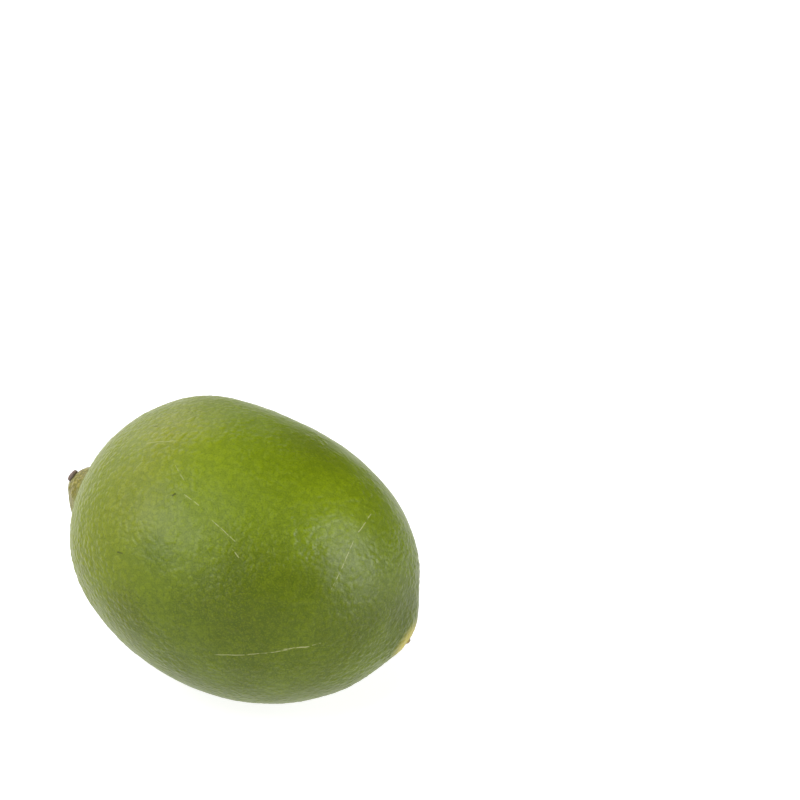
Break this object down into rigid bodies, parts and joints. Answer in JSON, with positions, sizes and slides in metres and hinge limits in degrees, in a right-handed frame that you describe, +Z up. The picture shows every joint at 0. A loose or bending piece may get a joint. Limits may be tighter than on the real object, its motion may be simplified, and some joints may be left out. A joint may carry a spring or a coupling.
{
  "type": "fresh lime",
  "caption": "Whole fresh green lime with a stem neck and its woody button, a low nipple at the tip, and a small flat spot to rest on.",
  "frame": {"origin": "on the ground, below the middle of the fruit's bounding box", "axes": "+Z up, +X from the stem end to the tip as seen from above; the long axis dips 15 degrees towards the tip"},
  "size_m": [0.0668, 0.0508, 0.0515],
  "materials": {
    "rind": "satin",
    "button_wood": "matte"
  },
  "bodies": {
    "root": {"fruit": "rind", "stem_button": "button_wood"}
  },
  "joints": []
}
